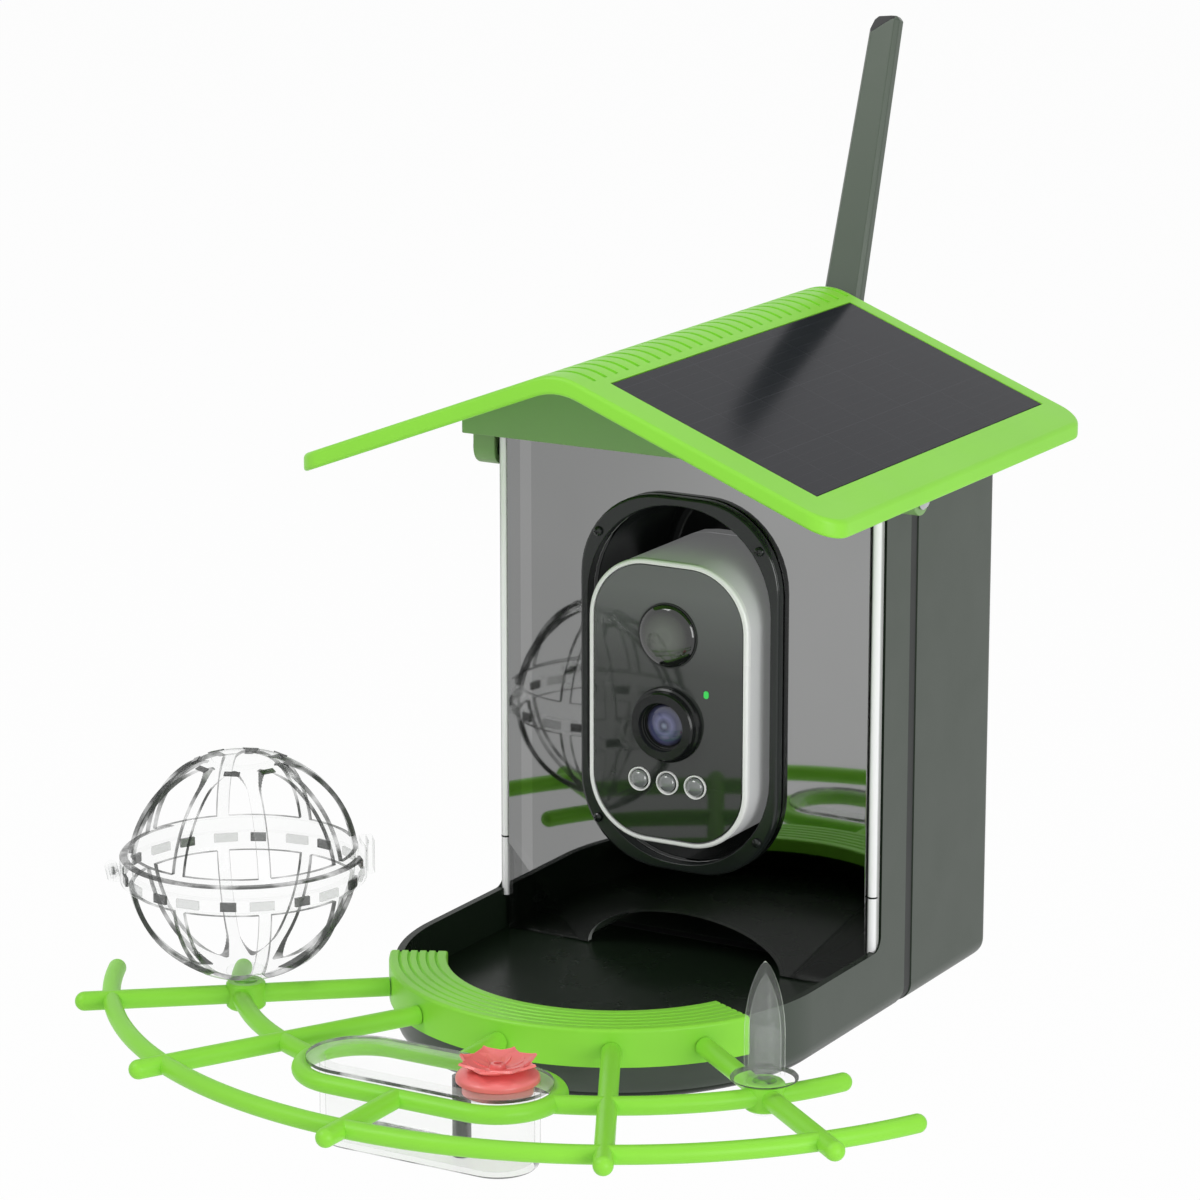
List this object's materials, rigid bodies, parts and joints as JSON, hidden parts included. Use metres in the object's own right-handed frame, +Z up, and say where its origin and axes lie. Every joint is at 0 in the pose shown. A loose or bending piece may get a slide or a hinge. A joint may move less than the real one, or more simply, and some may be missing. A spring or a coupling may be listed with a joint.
{
  "type": "camera bird feeder",
  "caption": "Bird feeder with seed hopper and tray, ridged roof with solar panel, tilting camera, perch frame, fruit cage, nectar cup and fruit spike.",
  "frame": {"origin": "centre of the threaded socket in the rear wall, on the wall's outer face", "axes": "+Z up, +Y out of the rear wall away from the tray, +X to the feeder's right seen from the front"},
  "size_m": [0.3052, 0.3755, 0.326],
  "materials": {
    "dark_green": "satin moulded",
    "lime_green": "satin moulded",
    "sage_green": "satin moulded",
    "black": "smooth, slightly glossy",
    "rubber": "matt",
    "tinted_clear": "clear plastic with a grey tint, polished",
    "clear": "clear plastic, polished",
    "camera_body": "fine satin",
    "camera_gloss": "high gloss",
    "lens": "coated glass",
    "led": "translucent",
    "solar": "dark cells under clear glass",
    "steel": "plain",
    "brass": "plain",
    "board": "lacquered",
    "cell": "film wrap",
    "coral": "satin moulded"
  },
  "bodies": {
    "housing": {"front_body": "dark_green", "rear_housing": "dark_green", "seam_gasket": "rubber", "rear_insert": "brass", "housing_screw_1": "steel", "housing_screw_2": "steel", "housing_screw_3": "steel", "housing_screw_4": "steel", "window_panel": "tinted_clear", "window_edge_left": "clear", "window_edge_right": "clear", "seed_funnel": "dark_green", "camera_collar": "black", "camera_bay": "black", "collar_screw_1": "steel", "collar_screw_2": "steel", "collar_screw_3": "steel", "collar_screw_4": "steel", "camera_bracket": "black", "bracket_pin": "steel", "landing_ring": "lime_green", "perch_frame": "lime_green", "antenna_connector": "brass", "roof_pin_left": "steel", "roof_pin_right": "steel"},
    "roof": {"roof_shell": "lime_green", "solar_panel": "solar", "gable_skirt": "sage_green", "roof_screw_1": "steel", "roof_screw_2": "steel", "roof_screw_3": "steel", "roof_screw_4": "steel"},
    "camera": {"camera_shell": "camera_body", "camera_face": "camera_gloss", "pir_dome": "camera_gloss", "lens_barrel": "black", "lens_glass": "lens", "status_led": "led", "ir_lens_1": "clear", "ir_lens_2": "clear", "ir_lens_3": "clear", "camera_board": "board", "battery_cell_1": "cell", "battery_cell_2": "cell", "camera_back": "camera_body", "port_cover": "rubber"},
    "camera_button": {"power_button": "black"},
    "antenna_base": {"antenna_knuckle": "black", "antenna_pin": "steel"},
    "antenna": {"antenna_blade": "dark_green"},
    "fruit_cage": {"cage_bowl": "clear", "cage_pin": "clear"},
    "fruit_cage_lid": {"cage_lid": "clear", "cage_latch": "clear"},
    "cup": {"nectar_cup": "clear", "feed_tube": "clear"},
    "flower": {"flower_port": "coral"},
    "spike": {"fruit_spike": "clear"}
  },
  "joints": [
    {"name": "roof_hinge", "type": "hinge", "parent": "housing", "child": "roof", "pos_m": [0, -0.0798, 0.071], "axis": [1, 0, 0], "range_deg": [0, 45]},
    {"name": "camera_tilt", "type": "hinge", "parent": "housing", "child": "camera", "pos_m": [0, -0.0405, -0.00565], "axis": [1, 0, 0], "range_deg": [-8, 5]},
    {"name": "power_button_press", "type": "slide", "parent": "camera", "child": "camera_button", "axis": [0, -1, 0], "range_m": [0, 0.001], "stiffness_N_per_m": 600},
    {"name": "antenna_swivel", "type": "hinge", "parent": "housing", "child": "antenna_base", "pos_m": [0, 0.0032, 0.055], "axis": [0, 1, 0], "range_deg": [-90, 90]},
    {"name": "antenna_tilt", "type": "hinge", "parent": "antenna_base", "child": "antenna", "pos_m": [0, 0.0085, 0.055], "axis": [-1, 0, 0], "range_deg": [0, 72]},
    {"name": "cage_lift_off", "type": "slide", "parent": "housing", "child": "fruit_cage", "axis": [0, 0, 1], "range_m": [0, 0.015]},
    {"name": "cage_lid_hinge", "type": "hinge", "parent": "fruit_cage", "child": "fruit_cage_lid", "pos_m": [-0.12991, -0.23797, -0.047], "axis": [0.6428, -0.766, 0], "range_deg": [0, 100]},
    {"name": "cup_lift_off", "type": "slide", "parent": "housing", "child": "cup", "axis": [0, 0, 1], "range_m": [0, 0.035]},
    {"name": "flower_pull_off", "type": "slide", "parent": "cup", "child": "flower", "axis": [0, 0, 1], "range_m": [0, 0.04]},
    {"name": "spike_lift_off", "type": "slide", "parent": "housing", "child": "spike", "axis": [0, 0, 1], "range_m": [0, 0.015]}
  ]
}
